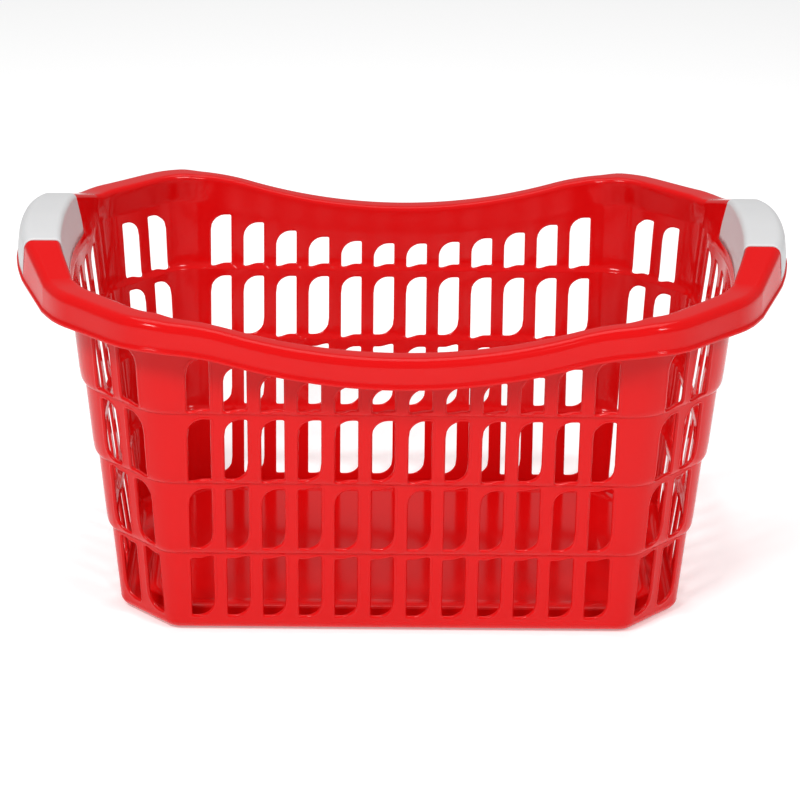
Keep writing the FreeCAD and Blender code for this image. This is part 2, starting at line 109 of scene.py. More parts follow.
# ---------------------------------------------------------------- rim and handles
RIM_LOW, RIM_HIGH, CREST_X, HOLLOW_R = 243.5, 270.0, 185.0, 450.0
SEAM_DROP, HANDLE_DROP = 23.5, 16.0  # from the rim's top to the seam, and more at a handle
WAIST, WAIST_RANGE = 1.2, (0.15, 0.5)
SIDE_EDGE, HANDLE_EDGE, HANDLE_FLARE = 65.5, 96.0, 2.5
HANDLE_BROW = 62.0
INNER_ROUND, OUTER_ROUND = 4.0, 7.0
RIM_SKIRT = 23.0
# The lip along the skirt's foot: points from its inner corner, from its outer edge and
# from the skirt's face above it.
LIP, LIP_HEIGHT = 1.5, 4.4
LIP_INSIDE = [(0, 0.6), (0.6, 0)]
LIP_EDGE = [(-0.9, 0), (-0.25, 0.25), (0, 0.9), (0, 2.1), (-0.3, 2.8), (-0.9, 3.1)]
LIP_SHOULDER = [(0.3, 3.4), (0, LIP_HEIGHT)]
RAMP_BLEND = 4  # rings over which a straight ramp fades into the wall at the seam
GRIP_FOOT, GRIP_SKIN, GRIP_HEM = 256.0, 1.2, 3.6


# ================================================================ plan of the basket
def plan_knots():
    """s, centre line and outward angle at the ends of every flat and every vertex."""
    arc = REF_U * VERTEX_TURN
    flat = (END_X - SIDE_X) * math.sqrt(2)
    centres = [(-SIDE_X, -SIDE_Y), (SIDE_X, -SIDE_Y), (END_X, -END_Y), (END_X, END_Y),
               (SIDE_X, SIDE_Y), (-SIDE_X, SIDE_Y), (-END_X, END_Y), (-END_X, -END_Y),
               (-SIDE_X, -SIDE_Y)]
    lengths = [2 * SIDE_X, flat, 2 * END_Y, flat] * 2
    rows, s = [], 0.0
    for side in range(8):
        angle = side * VERTEX_TURN
        for which in (side, side + 1):
            turn = angle + (VERTEX_TURN / 2 if which > side else -VERTEX_TURN / 2)
            rows.append((s, *centres[which], angle, turn))
            s += lengths[side] if which == side else arc
    rows.append((s, *centres[8], 2 * math.pi, 2 * math.pi - VERTEX_TURN / 2))
    return np.array(rows).T


KNOT_S, KNOT_X, KNOT_Y, KNOT_ANGLE, KNOT_TURN = plan_knots()
LOOP = KNOT_S[-1]
END_MIDDLES = [(KNOT_S[4] + KNOT_S[5]) / 2, (KNOT_S[12] + KNOT_S[13]) / 2]
HALF_TO_SIDE = END_MIDDLES[0] - KNOT_S[1]


def smoothstep(t):
    """From 0 to 1, level at both ends."""
    return t * t * (3 - 2 * t)


def drifted(s, z):
    """The columns on the corner panels drift towards the long walls as they rise."""
    offset = (s - END_MIDDLES[0] + LOOP / 4) % (LOOP / 2) - LOOP / 4
    d = abs(offset)
    near = np.clip((d - DRIFT_FROM) / DRIFT_IN, 0, 1)
    far = np.clip((HALF_TO_SIDE + DRIFT_TAIL - d) / DRIFT_OUT, 0, 1)
    share = smoothstep(near) * smoothstep(far)
    return s + np.sign(offset) * share * DRIFT * np.clip(z / DRIFT_TOP, 0, 1)


def place(s, u, z, ease=0.0):
    """Points in space. ease draws the centre lines inwards, which rounds small rings."""
    s, u, z = np.broadcast_arrays(np.asarray(s, float), u, z)
    s = drifted(s, z) % LOOP
    back = ease / math.cos(VERTEX_TURN / 2)
    x = np.interp(s, KNOT_S, KNOT_X - back * np.sin(KNOT_TURN))
    y = np.interp(s, KNOT_S, KNOT_Y + back * np.cos(KNOT_TURN))
    angle = np.interp(s, KNOT_S, KNOT_ANGLE)
    reach = u + ease
    return np.stack([x + reach * np.sin(angle), y - reach * np.cos(angle), z], axis=-1)


def from_handle(s):
    """Distance round the basket from the middle of the nearer handle."""
    s = np.asarray(s, float) % LOOP
    return np.min([np.minimum(abs(s - m), LOOP - abs(s - m)) for m in END_MIDDLES], axis=0)


def smooth(value, knots):
    """A monotone cubic curve through the knots, level at the first of them."""
    xs, ys = np.array(knots, float).T
    slope = np.diff(ys) / np.diff(xs)
    before, after = slope[:-1], slope[1:]
    together = before * after > 0
    bend = np.zeros(len(xs))
    bend[1:-1][together] = (2 * before * after)[together] / (before + after)[together]
    bend[-1] = slope[-1]
    i = np.clip(np.searchsorted(xs, value) - 1, 0, len(xs) - 2)
    step = xs[i + 1] - xs[i]
    t = np.clip((value - xs[i]) / step, 0, 1)
    return (ys[i] * (1 + 2 * t) * (1 - t) ** 2 + ys[i + 1] * t * t * (3 - 2 * t)
            + step * (bend[i] * t * (1 - t) ** 2 - bend[i + 1] * t * t * (1 - t)))


# ================================================================ surfaces
def bow(s):
    """How much of an end wall's bow is felt at s: 1 in its middle, 0 past its ends."""
    d = from_handle(s)
    edge = 1 - (BOW_BLEND / BOW_HALF) ** 2
    run = edge / (BOW_BLEND / BOW_HALF ** 2)
    tail = edge * np.clip(1 - (d - BOW_BLEND) / run, 0, 1) ** 2
    return np.where(d < BOW_BLEND, 1 - (d / BOW_HALF) ** 2, tail)


def outer_u(s, z):
    """Outside of the wall. Every tier swells out over its ledge."""
    z = np.asarray(z, float)
    u = VERTEX_U + (LEAN + BOW_LEAN * bow(s)) * z
    for ledge in LEDGES:
        rise = np.clip((z - ledge) / BELLY, 0, 1)
        u = u + TIER_STEP * np.sqrt(1 - (1 - rise) ** 2)
    return u


def inner_u(s, z):
    """Inside of the wall."""
    return outer_u(s, np.asarray(z, float) - INNER_LAG) - SHELL


def wave(x):
    """Height of the rim along a long side: a hollow between two crests."""
    x = abs(x)
    rise = RIM_HIGH - RIM_LOW
    crest_r = (CREST_X ** 2 + rise ** 2) / (2 * rise) - HOLLOW_R
    turn = HOLLOW_R * CREST_X / (HOLLOW_R + crest_r)
    hollow = RIM_LOW + HOLLOW_R - np.sqrt(HOLLOW_R ** 2 - np.minimum(x, turn) ** 2)
    crest = RIM_HIGH - crest_r + np.sqrt(crest_r ** 2 - (CREST_X - np.maximum(x, turn)) ** 2)
    return np.where(x < turn, hollow, crest)


# Curves of the rim, over the distance from the middle of a handle. The handle ramps down
# from RAMP_START to a crease just past the end wall.
RAMP_START, CREASE = 60.0, END_Y + 7.3
CORNER_END = END_Y + REF_U * VERTEX_TURN / 2
CORNER_START = HALF_TO_SIDE - REF_U * VERTEX_TURN / 2
TOP_KNOTS = [(0, 292), (30, 291.2), (56, 288.8), (63, 287), (CREASE - 5, 276.5),
             (CREASE + 3, 273.4), (CORNER_END, 273), (CORNER_START, 271.6),
             (HALF_TO_SIDE, wave(SIDE_X))]
LIP_KNOTS = [(0, 264), (20, 263), (40, 260.3), (57, 256.5), (72, 252.6), (END_Y, 249.5),
             (CREASE, 248.5), (CORNER_END, 248.3), (CORNER_START, 248),
             (HALF_TO_SIDE, wave(SIDE_X) - RIM_SKIRT)]
# Shares: how far the skirt reaches out and the brow stands back at a handle, and how
# much of HANDLE_DROP and WAIST there is. The shelf is in millimetres.
REACH_KNOTS = [(0, 1), (20, 0.98), (40, 0.895), (57, 0.745), (80, 0.467), (END_Y, 0.335),
               (CREASE, 0.15), (CORNER_END, 0.09), (CORNER_END + 12, 0.05),
               (CORNER_START, 0.01), (HALF_TO_SIDE, 0)]
BROW_KNOTS = [(0, 1), (30, 0.93), (57, 0.73), (80, 0.3), (CREASE, 0.02), (CORNER_END, 0),
              (HALF_TO_SIDE, 0)]
HANDLE_KNOTS = [(0, 1), (60, 1), (80, 0.55), (CREASE, 0.1), (CORNER_END, 0),
                (HALF_TO_SIDE, 0)]
SHELF_KNOTS = [(0, 0), (80, 0), (CREASE, 2), (CORNER_END, 4.5), (CORNER_START, 4.5),
               (HALF_TO_SIDE + 10, 0), (HALF_TO_SIDE + 20, 0)]


def rim_top(s):
    """Height of the rim's top."""
    d = from_handle(s)
    return np.where(d < HALF_TO_SIDE, smooth(d, TOP_KNOTS), wave(SIDE_X + HALF_TO_SIDE - d))


def rim_lip(s):
    """Height of the skirt's lower edge."""
    d = from_handle(s)
    side = wave(SIDE_X + HALF_TO_SIDE - d) - RIM_SKIRT
    return np.where(d < HALF_TO_SIDE, smooth(d, LIP_KNOTS), side)


def seam(s):
    """Height at which the slotted wall turns into the rim."""
    return rim_top(s) - SEAM_DROP - HANDLE_DROP * smooth(from_handle(s), HANDLE_KNOTS)


def rim_sizes(s):
    """Top, lip, foot and head of the skirt, and inner edge of the rim."""
    top, lip, d = rim_top(s), rim_lip(s), from_handle(s)
    reach = smooth(d, REACH_KNOTS)
    foot = SIDE_EDGE + reach * (HANDLE_EDGE - SIDE_EDGE)
    wall = VERTEX_U + 3 * TIER_STEP + LEAN * top - SHELL
    brow = wall + smooth(d, BROW_KNOTS) * (HANDLE_BROW - wall) - smooth(d, SHELF_KNOTS)
    return top, lip, foot, foot - reach * HANDLE_FLARE, brow


def arc_points(u, z, radius_u, radius_z, start, end, count):
    """Points of an elliptical arc round u, z, from start to end in degrees."""
    angles = np.radians(np.linspace(start, end, count))
    return [(u + radius_u * math.cos(a), z + radius_z * math.sin(a)) for a in angles]


def run_points(start, end, count):
    """Points between two others, both left out."""
    return [(start[0] + (end[0] - start[0]) * k / (count + 1),
             start[1] + (end[1] - start[1]) * k / (count + 1)) for k in range(1, count + 1)]


def around(u, z, offsets):
    """Points that lie at some offsets from u, z."""
    return [(u + du, z + dz) for du, dz in offsets]


def inner_corner(top, brow, radius, start, end, count):
    """The rounding between the inside of the rim and its top."""
    u, z = brow + INNER_ROUND, top - INNER_ROUND
    return arc_points(u, z, -radius, radius, start, end, count)


def outer_corner(top, head, radius, start, end, count):
    """The rounding between the top of the rim and its skirt."""
    u, z = head - OUTER_ROUND, top - OUTER_ROUND
    return arc_points(u, z, radius, radius, start, end, count)


def waist_point(s):
    """Where the inside of the rim stands out most from the line between seam and brow."""
    top, *_, brow = rim_sizes(s)
    z = seam(s)
    share = np.clip((GRIP_FOOT - z) / (top - INNER_ROUND - z), *WAIST_RANGE)
    line = inner_u(s, z) + share * (brow - inner_u(s, z))
    out = WAIST * smooth(from_handle(s), HANDLE_KNOTS)
    return line + out, z + share * (top - INNER_ROUND - z)


def rim_section(s):
    """The rim from the outside of the wall, round the skirt and the top, to the inside."""
    top, lip, foot, head, brow = rim_sizes(s)
    z = seam(s)
    start, leg = (outer_u(s, z), z), (brow + SHELL, top - INNER_ROUND)
    waist = waist_point(s)
    behind = (waist[0] + SHELL, waist[1])
    points = [start] + run_points(start, behind, 1) + [behind] + run_points(behind, leg, 2)
    points += inner_corner(top, brow, SHELL, 0, 90, 4)
    roof = outer_corner(top, head, OUTER_ROUND - SHELL, 90, 0, 5)
    points += run_points(points[-1], roof[0], 1) + roof
    inside = around(foot - SHELL, lip, LIP_INSIDE)
    points += run_points(roof[-1], inside[0], 2) + inside
    points += around(foot + LIP, lip, LIP_EDGE) + around(foot, lip, LIP_SHOULDER)
    points += run_points(points[-1], (head, top - OUTER_ROUND), 4)
    points += outer_corner(top, head, OUTER_ROUND, 0, 90, 10)
    points += run_points(points[-1], (brow + INNER_ROUND, top), 3)
    points += inner_corner(top, brow, INNER_ROUND, 90, 0, 7)
    end = (inner_u(s, z), z)
    points += run_points(points[-1], waist, 3) + [waist] + run_points(waist, end, 1) + [end]
    return points


# ================================================================ mesh making
class Shape:
    """Collects patches of vertices and quads, and welds them into one mesh."""

    def __init__(self):
        self.points, self.faces, self.count = [], [], 0

    def grid(self, rings, closed=False):
        """Quads between neighbouring rows of points; closed joins each row's ends."""
        rings = np.asarray(rings)
        rows, columns = rings.shape[:2]
        index = self.count + np.arange(rows * columns).reshape(rows, columns)
        after = np.roll(index, -1, axis=1) if closed else index[:, 1:]
        before = index if closed else index[:, :-1]
        quads = np.stack([before[:-1], after[:-1], after[1:], before[1:]], axis=-1)
        self.points.append(rings.reshape(-1, 3))
        self.faces.append(quads.reshape(-1, 4))
        self.count += rows * columns

    def build(self, name, material):
        """The welded mesh as an object, with all its faces turned outwards."""
        points = np.concatenate(self.points)
        first, welded = np.unique(np.round(points, WELD_DIGITS), axis=0,
                                  return_index=True, return_inverse=True)[1:]
        faces = welded.reshape(-1)[np.concatenate(self.faces)]
        corners = np.sort(faces, axis=1)
        doubled = (corners[:, 1:] == corners[:, :-1]).sum(axis=1)
        polygons = [tuple(dict.fromkeys(face)) for face in faces[doubled < 2].tolist()]
        mesh = bpy.data.meshes.new(name)
        mesh.from_pydata((points[first] * MM).tolist(), [], polygons)
        mesh.validate()
        solid = bmesh.new()
        solid.from_mesh(mesh)
        bmesh.ops.recalc_face_normals(solid, faces=solid.faces)
        solid.to_mesh(mesh)
        solid.free()
        mesh.polygons.foreach_set("use_smooth", np.ones(len(mesh.polygons), bool))
        mesh.materials.append(material)
        mesh.update()
        piece = bpy.data.objects.new(name, mesh)
        bpy.context.scene.collection.objects.link(piece)
        return piece


def spread(length, near, middle):
    """Sample distances along a length: close together at both ends, even between."""
    near = np.array(near, float)
    inside = np.linspace(near[-1], length - near[-1], middle + 2)[1:-1]
    return np.concatenate([near, inside, length - near[::-1]])


# ---------------------------------------------------------------- slots
def sampled(points, near, middle):
    """Sample a fine line of points at the distances that spread gives."""
    points = np.array(points)
    along = np.concatenate([[0], np.cumsum(np.linalg.norm(np.diff(points, axis=0), axis=1))])
    at = spread(along[-1], near, middle)
    return np.stack([np.interp(at, along, points[:, k]) for k in (0, 1)], axis=1)


def corner_arc(x, z, radius, start, end):
    """A finely sampled round of a slot's outline."""
    return arc_points(x, z, radius, radius, start, end, 12)


def slot_sides(foot, top, big_top, big_foot, hand):
    """The four sides of a slot, clockwise from its lower left as seen from outside."""
    w, r = SLOT_HALF, SMALL_ROUND
    head, toe = (BIG_ROUND if big_top else r), (BIG_ROUND if big_foot else r)
    left_foot = foot if big_foot else foot - FLICK
    right_top = top if big_top else top + FLICK
    left = corner_arc(-w + r, left_foot + r, r, 225, 180)
    left += corner_arc(-w + head, top - head, head, 180, 135)
    right = corner_arc(w - r, right_top - r, r, 45, 0)
    right += corner_arc(w - toe, foot + toe, toe, 0, -45)
    upper, lower = corner_arc(-w + head, top - head, head, 135, 90), []
    lower += corner_arc(w - toe, foot + toe, toe, -45, -90)
    for t in np.linspace(*FLICK_SAMPLES):
        flick = FLICK * smoothstep(np.clip((t - FLICK_FROM) / (1 - FLICK_FROM), 0, 1))
        if not big_top:
            upper.append((-w + head + t * 2 * (w - head), top + flick))
        if not big_foot:
            lower.append((w - toe - t * 2 * (w - toe), foot - flick))
    upper += corner_arc(w - r, right_top - r, r, 90, 45)
    lower += corner_arc(-w + r, left_foot + r, r, -90, -135)
    upright = [sampled(side, NEAR_UPRIGHT, UPRIGHT_MIDDLE) for side in (left, right)]
    level = [sampled(side, NEAR_LEVEL, LEVEL_MIDDLE) for side in (upper, lower)]
    if hand < 0:
        flip = np.array([-1, 1])
        upright = [(side * flip)[::-1] for side in upright[::-1]]
        level = [(side * flip)[::-1] for side in level]
    return upright[0], level[0], upright[1], level[1]


def joined(sides):
    """One closed ring from four sides that share their end points."""
    return np.concatenate([side[:-1] for side in sides])


def cell_border(s0, s1, z0, z1):
    """The rim of a slot's cell, sampled like its slot, where z1 is a height at any s."""
    across = s0 + spread(s1 - s0, NEAR_LEVEL, LEVEL_MIDDLE)

    def upright(s):
        heights = z0 + spread(z1(s) - z0, NEAR_UPRIGHT, UPRIGHT_MIDDLE)
        return np.stack([np.full(len(heights), s), heights], axis=1)

    upper = np.stack([across, z1(across)], axis=1)
    lower = np.stack([across, np.full(len(across), z0)], axis=1)
    return joined([upright(s0), upper, upright(s1)[::-1], lower[::-1]])


# Rings of a slot from outside to inside: how far each lies from the slot's edge, and how
# deep in the wall. A faint bead stands up round the rounded edge, at negative depths.
SLOT_EDGE = [(2.6, 0.0), (2.3, -0.09), (1.9, -0.12), (1.4, -0.09), (0.85, 0.05), (0.4, 0.25),
             (0.1, 0.55), (0.0, 0.85), (0.3, 1.0)]
# Shares of the way from the cell's border to EDGE_START outside, and back from EDGE_END
# inside.
OUTER_SHARES, INNER_SHARES = (0, 0.08, 0.4, 1), (1, 0.5, 0.15, 0)
EDGE_START, EDGE_END = 2.9, 1.6
CELL_GAP = 0.2  # rings keep this far inside the top and foot of their cell


def slot_cell(shape, s0, s1, z0, z1, sides):
    """One slot with the wall round it, from the outside through to the inside."""
    border = cell_border(s0, s1, z0, z1)
    ring = joined(sides) + np.array([(s0 + s1) / 2, 0])
    tangent = np.roll(ring, -1, axis=0) - np.roll(ring, 1, axis=0)
    tangent /= np.linalg.norm(tangent, axis=1)[:, None]
    away = np.stack([-tangent[:, 1], tangent[:, 0]], axis=1)

    def moved(distance):
        points = ring + away * distance
        points[:, 1] = np.clip(points[:, 1], z0 + CELL_GAP, z1(points[:, 0]) - CELL_GAP)
        return points

    rings = [(border + t * (moved(EDGE_START) - border), 0.0) for t in OUTER_SHARES]
    rings += [(moved(distance), depth) for distance, depth in SLOT_EDGE]
    rings += [(border + t * (moved(EDGE_END) - border), 1.0) for t in INNER_SHARES]
    placed = []
    for points, depth in rings:
        s, z = points.T
        u = (1 - depth) * outer_u(s, z) + depth * inner_u(s, z)
        placed.append(place(s, u, z))
    shape.grid(placed, closed=True)


def columns():
    """Every column of slots: its left edge, its panel's kind, hand and number."""
    made = []
    kinds = ["long", "corner", "end", "corner"] * 2
    hands = [1, 1, 1, -1, -1, 1, -1, -1]
    for side, (kind, hand) in enumerate(zip(kinds, hands)):
        middle = (KNOT_S[2 * side] + KNOT_S[2 * side + 1]) / 2
        count = COLUMNS[kind]
        for number in range(count):
            made.append((middle + (number - count / 2) * PITCH, kind, hand, number))
    return made


def strips(made):
    """The plain stretches round the vertices, between the columns of two panels."""
    edges = [s0 for s0, *_ in made] + [made[0][0] + LOOP]
    return [(left + PITCH, right) for left, right in zip(edges, edges[1:])
            if right - left > PITCH + 1]


def strip_samples(left, right):
    """Even samples over a strip, with a close group at the crease if it has one."""
    close = [m + side * (CREASE + step) for m in [*END_MIDDLES, END_MIDDLES[0] + LOOP]
             for side in (-1, 1) for step in CREASE_SAMPLES]
    inside = [s for s in close if left < s < right]
    return np.unique(np.round([*np.linspace(left, right, STRIP_SAMPLES), *inside], DIGITS))


def ring_samples(made):
    """All s at which the rings of the rim and the base are sampled, once round."""
    across = [s0 + spread(PITCH, NEAR_LEVEL, LEVEL_MIDDLE) for s0, *_ in made]
    across += [strip_samples(left, right) for left, right in strips(made)]
    samples = np.unique(np.round(np.concatenate(across), DIGITS))
    return samples[samples < samples[0] + LOOP - WELD]


def level_at(height):
    """A ledge as a height at any s, like the seam."""
    return lambda s: np.full_like(s, height, dtype=float)


def slotted_walls(shape, made):
    """Every row of slots, from the base to the seam, and the plain strips between."""
    feet_of_rows = [BASE_BEND, *LEDGES]
    tops_of_rows = [*map(level_at, LEDGES), seam]
    for row, z0, z1 in zip(ROWS, feet_of_rows, tops_of_rows):
        for s0, kind, hand, column in made:
            rim_drop = rim_top(s0 + PITCH / 2) - SLOT_TO_RIM
            low_top = rim_drop if kind == "long" else CORNER_SLOT_TOP
            alternate = (column if hand > 0 else column + 1) % 2
            sides = slot_sides(row["foot"], row["top"] or low_top, row["big_top"][alternate],
                               row["big_foot"][alternate], hand)
            slot_cell(shape, s0, s0 + PITCH, z0, z1, sides)
        for left, right in strips(made):
            across = strip_samples(left, right)
            heights = np.stack([z0 + spread(z1(s) - z0, NEAR_UPRIGHT, UPRIGHT_MIDDLE)
                                for s in across])
            s = across[:, None]
            shape.grid(place(s, outer_u(s, heights), heights))
            shape.grid(place(s, inner_u(s, heights), heights)[::-1])


# ---------------------------------------------------------------- rim, base and feet
def rim_rings(s):
    return np.array([place(s, u, z) for u, z in rim_section(s)])


def rim(shape, samples):
    """Rings round the rim, straight along the ramps between the grips and the creases."""
    rings = rim_rings(samples)
    order = np.arange(len(rings))
    weight = np.clip(np.minimum(order, order[::-1]) / RAMP_BLEND, 0, 1)[:, None]
    for middle in END_MIDDLES:
        for side in (-1, 1):
            offset = side * ((samples - middle + LOOP / 2) % LOOP - LOOP / 2)
            on_ramp = (offset > RAMP_START) & (offset < CREASE)
            ends = rim_rings(middle + side * np.array([RAMP_START, CREASE]))
            for column in np.flatnonzero(on_ramp):
                t = (offset[column] - RAMP_START) / (CREASE - RAMP_START)
                straight = ends[:, 0] + t * (ends[:, 1] - ends[:, 0])
                rings[:, column] += weight * (straight - rings[:, column])
    shape.grid(rings, closed=True)


# A gutter runs round the raised floor. The floor's middle panel is a little lower.
GUTTER, FLOOR_RISE, BASE_LIFT, BASE_R = 12.0, 9.0, 1.2, 8.8
PLINTH_STEP, PANEL_LINE = 0.7, 13.0
EASE = 1.4  # how fast the rings' corners round off inwards
# Points round the corners of the step between the gutter and the floor, seen from
# below and from above, and across the edge of the middle panel.
UNDER_FOOT, UNDER_HEAD = [(0.8, 0), (0, 0.8)], [(0, -1), (-1, 0), (-6, 0)]
STEP_FOOT, STEP_HEAD = [(2.2, 0), (0.8, 0.4), (0, 1.8)], [(0, -2.2), (-0.5, -0.8), (-1.8, 0)]
PANEL_EDGE = [(1, 0), (0.2, -0.25), (-0.3, -0.6), (-1.2, -0.7), (-3, -0.7)]
DISC_SHARES = (0.75, 0.5, 0.25, 0.0)


def disc(shape, samples, profile):
    """Rings from the wall's foot inwards over a base or floor, closed at the middle."""
    rings = [place(samples, u, z, EASE * np.clip(BASE_EDGE_U - np.mean(u), 0, None))
             for u, z in profile]
    innermost = rings[-1]
    rings += [innermost * np.array([share, share, 1]) for share in DISC_SHARES]
    shape.grid(rings, closed=True)


def base(shape, samples):
    """The underside of the base, and the gutter and floor inside."""
    level = np.full_like(samples, BASE_BEND)
    edge, low = BASE_EDGE_U, BASE_LIFT
    step = edge - GUTTER
    outside = outer_u(samples, level)
    under = [(outside, BASE_BEND), (outside - 0.1, BASE_BEND - 1.0)]
    under += arc_points(edge, BASE_BEND, BASE_R - PLINTH_STEP, BASE_R, -10, -90, 7)
    under += around(step - SHELL, low, UNDER_FOOT)
    under += around(step - SHELL, low + FLOOR_RISE, UNDER_HEAD)
    disc(shape, samples, under)
    gutter, floor = low + SHELL, low + SHELL + FLOOR_RISE
    inside = [(inner_u(samples, level), BASE_BEND)]
    inside += arc_points(edge, BASE_BEND, BASE_R - SHELL, BASE_R - SHELL, -15, -90, 6)
    inside += around(step, gutter, STEP_FOOT) + around(step, floor, STEP_HEAD)
    inside += around(step - PANEL_LINE, floor, PANEL_EDGE)
    disc(shape, samples, inside)


FOOT = dict(x=158.0, y=122.0, half_x=13.0, half_y=6.0, corner=3.0)
# From the head of a foot, inside the base, to its sole: its size and its height.
FOOT_RINGS = ((0, 2.4), (1, 2.4), (1, 0.6), (0.97, 0.2), (0.92, 0.0), (0, 0.0))


def feet(shape):
    """Four low rounded pads under the base."""
    outline = []
    for quarter, (sx, sy) in enumerate(((1, 1), (-1, 1), (-1, -1), (1, -1))):
        cx = sx * (FOOT["half_x"] - FOOT["corner"])
        cy = sy * (FOOT["half_y"] - FOOT["corner"])
        outline += arc_points(cx, cy, FOOT["corner"], FOOT["corner"], 90 * quarter,
                              90 * quarter + 90, 7)
    outline = np.array(outline)
    for x_side in (-1, 1):
        for y_side in (-1, 1):
            centre = np.array([x_side * FOOT["x"], y_side * FOOT["y"]])
            rings = [np.column_stack([centre + outline * size, np.full(len(outline), z)])
                     for size, z in FOOT_RINGS]
            shape.grid(rings, closed=True)


def moulding(material):
    """The whole red basket as one mesh."""
    shape, made = Shape(), columns()
    samples = ring_samples(made)
    slotted_walls(shape, made)
    rim(shape, samples)
    base(shape, samples)
    feet(shape)
    return shape.build("basket_moulding", material)


# ---------------------------------------------------------------- grips
# How far in from a grip's end its skin has risen to what thickness.
GRIP_EDGE = [(0.0, 0.0), (0.0, 0.45), (0.15, 0.85), (0.5, 1.1), (1.2, GRIP_SKIN)]
GRIP_SAMPLES = 43
HEM_TAPER = (0, 0.5, 0.85)  # shares of the skin at the first points from either hem


def grip_section(s, skin):
    """The grip's face over a handle, standing skin proud of it, from inside to outside."""
    top, lip, foot, head, brow = rim_sizes(s)
    low = waist_point(s)
    points = [low] + run_points(low, (brow, top - INNER_ROUND), 5)
    points += inner_corner(top, brow, INNER_ROUND, 0, 90, 8)
    across = outer_corner(top, head, OUTER_ROUND, 90, 0, 10)
    points += run_points(points[-1], across[0], 4) + across
    points += run_points(across[-1], (foot, lip + LIP_HEIGHT), 5) + [(foot, lip + GRIP_HEM)]
    line = np.array(points)
    along = np.gradient(line, axis=0)
    along /= np.linalg.norm(along, axis=1)[:, None]
    out = np.stack([-along[:, 1], along[:, 0]], axis=1)
    return line + out * skin


def grip(name, node, middle, material):
    """A closed saddle over one handle: its face, its underside, its hems and its ends."""
    stations = [(-GRIP_HALF + back, skin) for back, skin in GRIP_EDGE]
    evenly = np.linspace(-GRIP_HALF, GRIP_HALF, GRIP_SAMPLES)[1:-1]
    stations += [(y, GRIP_SKIN) for y in evenly]
    stations += [(-y, skin) for y, skin in stations[:len(GRIP_EDGE)][::-1]]
    offsets, skins = (np.array(values) for values in zip(*stations))
    along = middle + offsets
    bare = grip_section(along, 0.0)
    taper = np.ones(len(bare))
    taper[:len(HEM_TAPER)], taper[-len(HEM_TAPER):] = HEM_TAPER, HEM_TAPER[::-1]
    skinned = grip_section(along, taper[:, None, None] * skins[None, None, :])
    face, under = (place(along[None, :], points[:, 0], points[:, 1])
                   for points in (skinned, bare))
    shape = Shape()
    shape.grid(face.transpose(1, 0, 2))
    shape.grid(under.transpose(1, 0, 2)[::-1])
    shape.grid(np.stack([under[:, 0], face[:, 0]]))
    shape.grid(np.stack([under[:, -1], face[:, -1]])[::-1])
    shape.grid(np.stack([face[0], under[0]]))
    shape.grid(np.stack([face[-1], under[-1]])[::-1])
    piece = shape.build(name, material)
    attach(piece, "root")
    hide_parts(node)


# ================================================================ materials
NOISE_MIDDLE = (0.3, 0.7)  # most of a noise texture's values lie between these


def new_material(name):
    """A material, with its nodes, links and main shader."""
    material = bpy.data.materials.new(name)
    material.use_nodes = True
    nodes, links = material.node_tree.nodes, material.node_tree.links
    return material, nodes, links, nodes["Principled BSDF"]


def set_inputs(node, values):
    for name, value in values.items():
        node.inputs[name].default_value = value


def noise(nodes, links, vector, scale, detail):
    texture = nodes.new("ShaderNodeTexNoise")
    set_inputs(texture, {"Scale": scale, "Detail": detail})
    links.new(vector, texture.inputs["Vector"])
    return texture.outputs["Fac"]


def remap(nodes, links, value, low, high):
    """Spreads a noise between low and high."""
    mapped = nodes.new("ShaderNodeMapRange")
    set_inputs(mapped, {"From Min": NOISE_MIDDLE[0], "From Max": NOISE_MIDDLE[1],
                        "To Min": low, "To Max": high})
    links.new(value, mapped.inputs["Value"])
    return mapped.outputs["Result"]


def mixed_colour(nodes, links, factor, first, second):
    mix = nodes.new("ShaderNodeMix")
    mix.data_type = "RGBA"
    set_inputs(mix, {"A": (*first, 1), "B": (*second, 1)})
    links.new(factor, mix.inputs["Factor"])
    return mix.outputs["Result"]


def bump(nodes, links, height, distance, strength):
    node = nodes.new("ShaderNodeBump")
    set_inputs(node, {"Distance": distance, "Strength": strength})
    links.new(height, node.inputs["Height"])
    return node.outputs["Normal"]


def stretched(nodes, links, coordinates, scale):
    mapping = nodes.new("ShaderNodeMapping")
    set_inputs(mapping, {"Scale": scale})
    links.new(coordinates, mapping.inputs["Vector"])
    return mapping.outputs["Vector"]


def gloss_red():
    """Injection-moulded polypropylene: glossy, with the faintest upright flow marks."""
    material, nodes, links, shader = new_material("gloss_red_polypropylene")
    place_in = nodes.new("ShaderNodeTexCoord").outputs["Object"]
    upright = stretched(nodes, links, place_in, scale=(1, 1, 0.15))
    flow = noise(nodes, links, upright, scale=30, detail=2)
    clouds = noise(nodes, links, place_in, scale=9, detail=2)
    grain = noise(nodes, links, place_in, scale=700, detail=2)
    colour = mixed_colour(nodes, links, clouds, first=(0.6, 0.0025, 0.003),
                          second=(0.64, 0.003, 0.0035))
    roughness = remap(nodes, links, flow, low=0.1, high=0.15)
    links.new(colour, shader.inputs["Base Color"])
    links.new(roughness, shader.inputs["Roughness"])
    links.new(bump(nodes, links, grain, distance=0.00001, strength=0.15),
              shader.inputs["Normal"])
    set_inputs(shader, {"Specular IOR Level": 0.2})
    return material


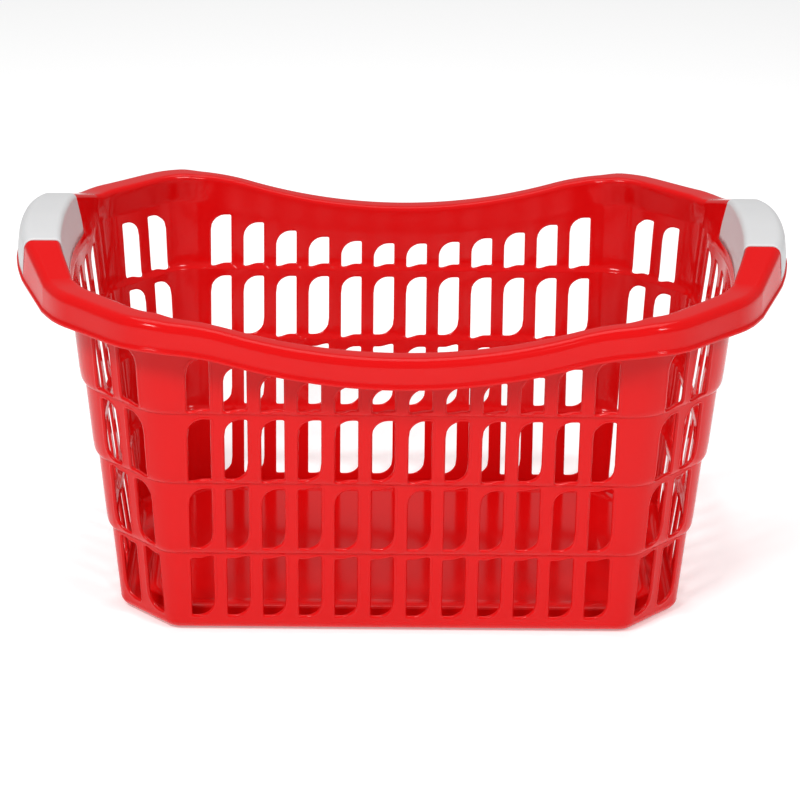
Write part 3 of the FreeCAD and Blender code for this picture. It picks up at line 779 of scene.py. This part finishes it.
def satin_white():
    """Satin white plastic with a fine sparked grain."""
    material, nodes, links, shader = new_material("satin_white_plastic")
    place_in = nodes.new("ShaderNodeTexCoord").outputs["Object"]
    grain = noise(nodes, links, place_in, scale=1600, detail=3)
    clouds = noise(nodes, links, place_in, scale=25, detail=2)
    colour = mixed_colour(nodes, links, clouds, first=(0.58, 0.58, 0.585),
                          second=(0.62, 0.62, 0.625))
    roughness = remap(nodes, links, grain, low=0.38, high=0.5)
    links.new(colour, shader.inputs["Base Color"])
    links.new(roughness, shader.inputs["Roughness"])
    links.new(bump(nodes, links, grain, distance=0.00004, strength=0.35),
              shader.inputs["Normal"])
    set_inputs(shader, {"Subsurface Weight": 0.05, "Subsurface Radius": (1.0, 0.8, 0.7),
                        "Subsurface Scale": 0.002})
    return material


def pale_floor():
    """Matt and near white, with a faint glow of its own so that it reads as white."""
    material, nodes, links, shader = new_material("pale_floor")
    set_inputs(shader, {"Base Color": (0.93, 0.93, 0.93, 1), "Roughness": 0.9,
                        "Specular IOR Level": 0.2, "Emission Color": (1, 1, 1, 1),
                        "Emission Strength": 0.27})
    return material


# ================================================================ camera and light
CAMERA = dict(place=(-0.0194, -2.1422, 1.0029), tilt=22.0, turn=0.51, roll=0.67, lens=130.3,
              sensor=36, near=0.05, far=50)
AIM = (0, 0, 0.15)
LAMPS = {
    "key": dict(where=(-1.1, -1.8, 2.3), size=(0.9, 0.6), power=46),
    "fill": dict(where=(1.5, -1.7, 2.0), size=(0.5, 0.5), power=22),
    "overhead": dict(where=(0, 0.4, 2.4), size=(2.0, 1.4), power=20),
}
WORLD_STRENGTH = 0.38
FLOOR_SIZE = 12


def camera():
    """A camera that looks down at the front wall, turned and rolled a little."""
    tilt, turn, roll = (math.radians(CAMERA[key]) for key in ("tilt", "turn", "roll"))
    forward = Vector((math.sin(turn) * math.cos(tilt), math.cos(turn) * math.cos(tilt),
                      -math.sin(tilt)))
    level = Vector((math.cos(turn), -math.sin(turn), 0))
    upright = level.cross(forward)
    right = level * math.cos(roll) + upright * math.sin(roll)
    up = upright * math.cos(roll) - level * math.sin(roll)
    data = bpy.data.cameras.new("camera")
    data.lens, data.sensor_width = CAMERA["lens"], CAMERA["sensor"]
    data.clip_start, data.clip_end = CAMERA["near"], CAMERA["far"]
    made = bpy.data.objects.new("camera", data)
    rotation = Matrix((right, up, -forward)).transposed().to_4x4()
    made.matrix_world = Matrix.Translation(CAMERA["place"]) @ rotation
    bpy.context.scene.collection.objects.link(made)
    bpy.context.scene.camera = made


def softbox(name, where, size, power):
    """A plain white lamp that faces the basket."""
    data = bpy.data.lights.new(name, "AREA")
    data.shape, data.size, data.size_y = "RECTANGLE", size[0], size[1]
    data.energy = power
    lamp = bpy.data.objects.new(name, data)
    lamp.location = where
    lamp.rotation_euler = (Vector(AIM) - Vector(where)).to_track_quat("-Z", "Y").to_euler()
    bpy.context.scene.collection.objects.link(lamp)


def studio():
    """An even white world, three lamps and a plain floor."""
    world = bpy.data.worlds.new("studio")
    world.use_nodes = True
    set_inputs(world.node_tree.nodes["Background"],
               {"Color": (1, 1, 1, 1), "Strength": WORLD_STRENGTH})
    bpy.context.scene.world = world
    bpy.context.scene.view_settings.view_transform = "Standard"
    for name, lamp in LAMPS.items():
        softbox(name, **lamp)

    bpy.ops.mesh.primitive_plane_add(size=FLOOR_SIZE, location=(0, 0, 0))
    floor = bpy.context.object
    floor.name = "studio_floor"
    floor.data.materials.append(pale_floor())


# ================================================================ the scene
camera()
studio()
red, white = gloss_red(), satin_white()
tub = moulding(red)
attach(tub, "root")
grips = {"left_grip": END_MIDDLES[1], "right_grip": END_MIDDLES[0]}
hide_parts(*sorted(set(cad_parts) - set(grips)))
for node, middle in grips.items():
    grip(f"{node}_cover", node, middle, white)
